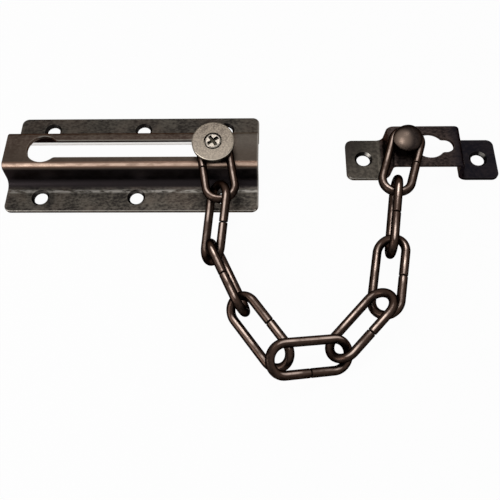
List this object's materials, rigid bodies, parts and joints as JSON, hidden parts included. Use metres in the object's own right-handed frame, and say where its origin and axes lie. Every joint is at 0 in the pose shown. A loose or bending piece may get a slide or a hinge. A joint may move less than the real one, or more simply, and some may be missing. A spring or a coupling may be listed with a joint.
{
  "type": "chain door guard",
  "caption": "Chain door guard: a keyhole-slot track plate with a sliding stud, a chain of bent wire links and a bridge-shaped anchor bracket with a rivet, in antique bronze finish.",
  "frame": {"origin": "middle of the track plate's four corner screw holes, on its back face", "axes": "+X along the slot from the keyhole to the closed end, +Y across the plate away from the hanging chain, +Z out of the door"},
  "size_m": [0.1556, 0.0905, 0.0159],
  "materials": {
    "stamped_sheet": "antique bronze on stamped steel sheet, satin, rubbed to copper along the folds",
    "turned_parts": "antique bronze, satin",
    "slider_face": "rubbed antique bronze, satin",
    "chain_wire": "antique bronze on bent steel wire, rubbed to copper on the outsides"
  },
  "bodies": {
    "track": {"track_plate": "stamped_sheet"},
    "slider": {"slider_stud": "turned_parts", "slider_disc": "slider_face", "slider_screw": "slider_face"},
    "link_1": {"chain_link_1": "chain_wire"},
    "link_2": {"chain_link_2": "chain_wire"},
    "link_3": {"chain_link_3": "chain_wire"},
    "link_4": {"chain_link_4": "chain_wire"},
    "link_5": {"chain_link_5": "chain_wire"},
    "link_6": {"chain_link_6": "chain_wire"},
    "link_7": {"chain_link_7": "chain_wire"},
    "link_8": {"chain_link_8": "chain_wire"},
    "link_9": {"chain_link_9": "chain_wire"},
    "anchor": {"anchor_bracket": "stamped_sheet", "anchor_rivet": "turned_parts"}
  },
  "joints": [
    {"name": "slider_travel", "type": "slide", "parent": "track", "child": "slider", "axis": [1, 0, 0], "range_m": [-0.0542, 0.00245]},
    {"name": "first_link_swivel", "type": "hinge", "parent": "slider", "child": "link_1", "pos_m": [0.0263, -0.00081, 0], "axis": [0, 0, 1], "range_deg": [-40, 45]},
    {"name": "chain_swing_1_2", "type": "hinge", "parent": "link_1", "child": "link_2", "pos_m": [0.02879, -0.01521, 0], "axis": [0, 0, 1], "range_deg": [-40, 40]},
    {"name": "chain_swing_2_3", "type": "hinge", "parent": "link_2", "child": "link_3", "pos_m": [0.02679, -0.0325, 0], "axis": [0, 0, 1], "range_deg": [-10, 17]},
    {"name": "chain_swing_3_4", "type": "hinge", "parent": "link_3", "child": "link_4", "pos_m": [0.03639, -0.05272, 0], "axis": [0, 0, 1], "range_deg": [-34, 20]},
    {"name": "chain_swing_4_5", "type": "hinge", "parent": "link_4", "child": "link_5", "pos_m": [0.04754, -0.06731, 0], "axis": [0, 0, 1], "range_deg": [-41, 4]},
    {"name": "chain_swing_5_6", "type": "hinge", "parent": "link_5", "child": "link_6", "pos_m": [0.06093, -0.06461, 0], "axis": [0, 0, -1], "range_deg": [-20, 21]},
    {"name": "chain_swing_6_7", "type": "hinge", "parent": "link_6", "child": "link_7", "pos_m": [0.07624, -0.04865, 0], "axis": [0, 0, -1], "range_deg": [-24, 35]},
    {"name": "chain_swing_7_8", "type": "hinge", "parent": "link_7", "child": "link_8", "pos_m": [0.07857, -0.03457, 0], "axis": [0, 0, 1], "range_deg": [-30, 32]},
    {"name": "chain_swing_8_9", "type": "hinge", "parent": "link_8", "child": "link_9", "pos_m": [0.08141, -0.01269, 0], "axis": [0, 0, 1], "range_deg": [-40, 40]},
    {"name": "anchor_swivel", "type": "hinge", "parent": "link_9", "child": "anchor", "pos_m": [0.08562, 0.00108, 0], "axis": [0, 0, 1], "range_deg": [-60, 60]}
  ],
  "couplings": [
    {"joint": "chain_swing_4_5", "follows": "slider_travel", "rad_per_m": 12.881}
  ]
}
